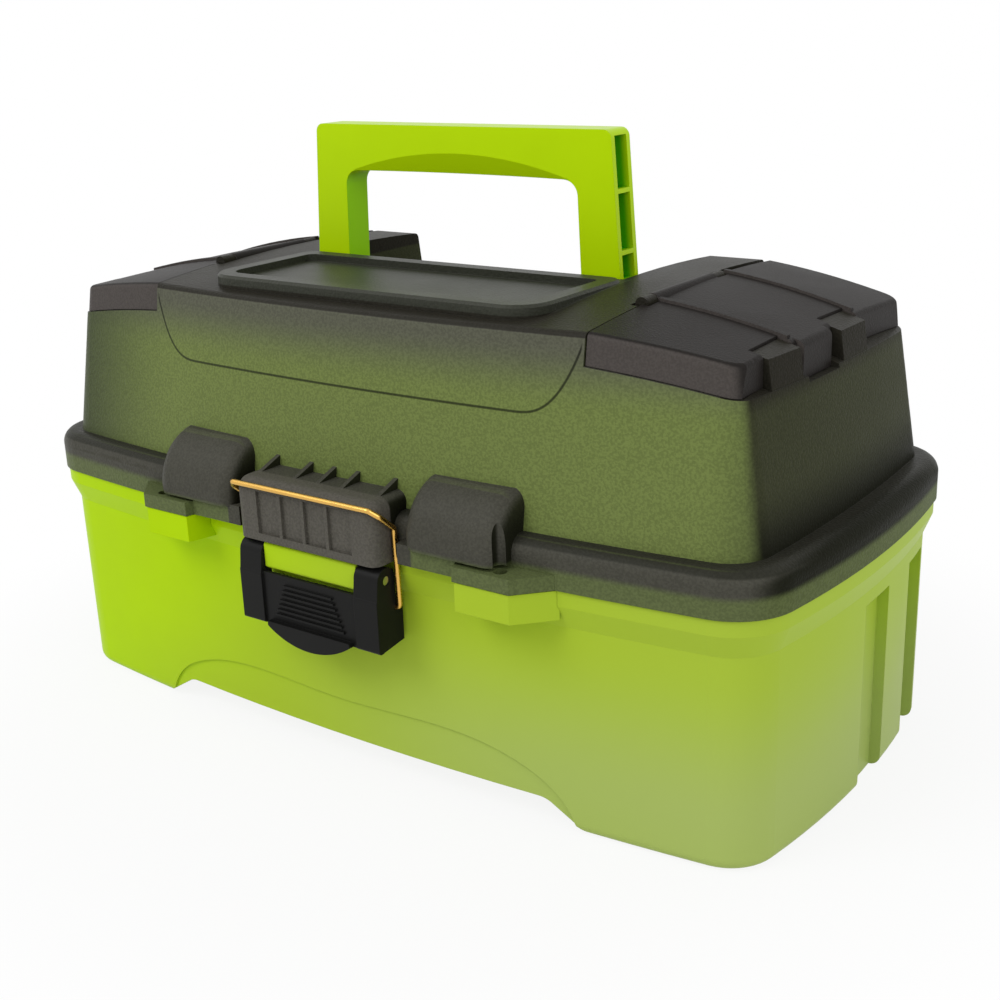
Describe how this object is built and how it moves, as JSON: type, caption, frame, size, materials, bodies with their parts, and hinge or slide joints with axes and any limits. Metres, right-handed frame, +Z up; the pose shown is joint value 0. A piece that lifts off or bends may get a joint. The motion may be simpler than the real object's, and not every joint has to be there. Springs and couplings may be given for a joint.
{
  "type": "tackle box",
  "caption": "Two-tone plastic fishing tackle box: deep tub, hinged lid with flip-up top wells, fold-down carry handle, wire bail latch and lift-out cantilever trays.",
  "frame": {"origin": "middle of the overall box, on the plane the feet stand on", "axes": "+X to the right along the length, -Y out of the front with the latch, +Z up"},
  "size_m": [0.4198, 0.234, 0.276],
  "materials": {
    "green_tub": "frosted translucent",
    "smoke_lid": "fine stipple, smoke tint",
    "dark_cover": "fine stipple",
    "green_handle": "moulded satin gloss",
    "green_tray": "moulded satin",
    "clear_divider": "clear",
    "black_latch": "satin black",
    "brass_wire": "drawn wire",
    "steel_pin": "drawn",
    "steel_arm": "stamped strip"
  },
  "bodies": {
    "base": {"base_tub": "green_tub", "base_lugs": "green_tub", "hinge_pins": "steel_pin", "latch_pin": "steel_pin", "arm_pins": "steel_pin"},
    "lid": {"lid_shell": "smoke_lid", "lid_lugs": "smoke_lid", "handle_pins": "steel_pin", "left_cover_pin": "steel_pin", "right_cover_pin": "steel_pin"},
    "handle": {"handle": "green_handle"},
    "right_cover": {"right_top_cover": "dark_cover"},
    "left_cover": {"left_top_cover": "dark_cover"},
    "lever": {"latch_lever": "black_latch"},
    "bail": {"latch_bail": "brass_wire"},
    "arms": {"left_arm": "steel_arm", "right_arm": "steel_arm"},
    "lower_tray": {"lower_tray": "green_tray", "lower_tray_dividers": "clear_divider", "lower_tray_pins": "steel_pin"},
    "upper_tray": {"upper_tray": "green_tray", "upper_tray_dividers": "clear_divider", "upper_tray_pins": "steel_pin"}
  },
  "joints": [
    {"name": "lid_hinge", "type": "hinge", "parent": "base", "child": "lid", "pos_m": [0, 0.1118, 0.11], "axis": [-1, 0, 0], "range_deg": [0, 95]},
    {"name": "handle_fold", "type": "hinge", "parent": "lid", "child": "handle", "pos_m": [0, 0.0089, 0.2024], "axis": [-1, 0, 0], "range_deg": [0, 90]},
    {"name": "right_cover_hinge", "type": "hinge", "parent": "lid", "child": "right_cover", "pos_m": [0.12, 0, 0.2118], "axis": [0, -1, 0], "range_deg": [0, 100]},
    {"name": "left_cover_hinge", "type": "hinge", "parent": "lid", "child": "left_cover", "pos_m": [-0.12, 0, 0.2118], "axis": [0, 1, 0], "range_deg": [0, 100]},
    {"name": "latch_lever_turn", "type": "hinge", "parent": "base", "child": "lever", "pos_m": [0, -0.1086, 0.1016], "axis": [-1, 0, 0], "range_deg": [0, 88]},
    {"name": "bail_swing", "type": "hinge", "parent": "lever", "child": "bail", "pos_m": [0, -0.103, 0.088], "axis": [-1, 0, 0], "range_deg": [-110, 0]},
    {"name": "arm_swing", "type": "hinge", "parent": "base", "child": "arms", "pos_m": [0, 0.0274, 0.1074], "axis": [-1, 0, 0], "range_deg": [0, 95]},
    {"name": "lower_tray_level", "type": "hinge", "parent": "arms", "child": "lower_tray", "pos_m": [0, -0.0126, 0.1274], "axis": [-1, 0, 0], "range_deg": [-95, 0]},
    {"name": "upper_tray_level", "type": "hinge", "parent": "arms", "child": "upper_tray", "pos_m": [0, -0.0566, 0.1494], "axis": [-1, 0, 0], "range_deg": [-95, 0]}
  ],
  "couplings": [
    {"joint": "bail_swing", "follows": "latch_lever_turn", "ratio": -1.25},
    {"joint": "arm_swing", "follows": "lid_hinge", "ratio": 1},
    {"joint": "lower_tray_level", "follows": "lid_hinge", "ratio": -1},
    {"joint": "upper_tray_level", "follows": "lid_hinge", "ratio": -1}
  ]
}
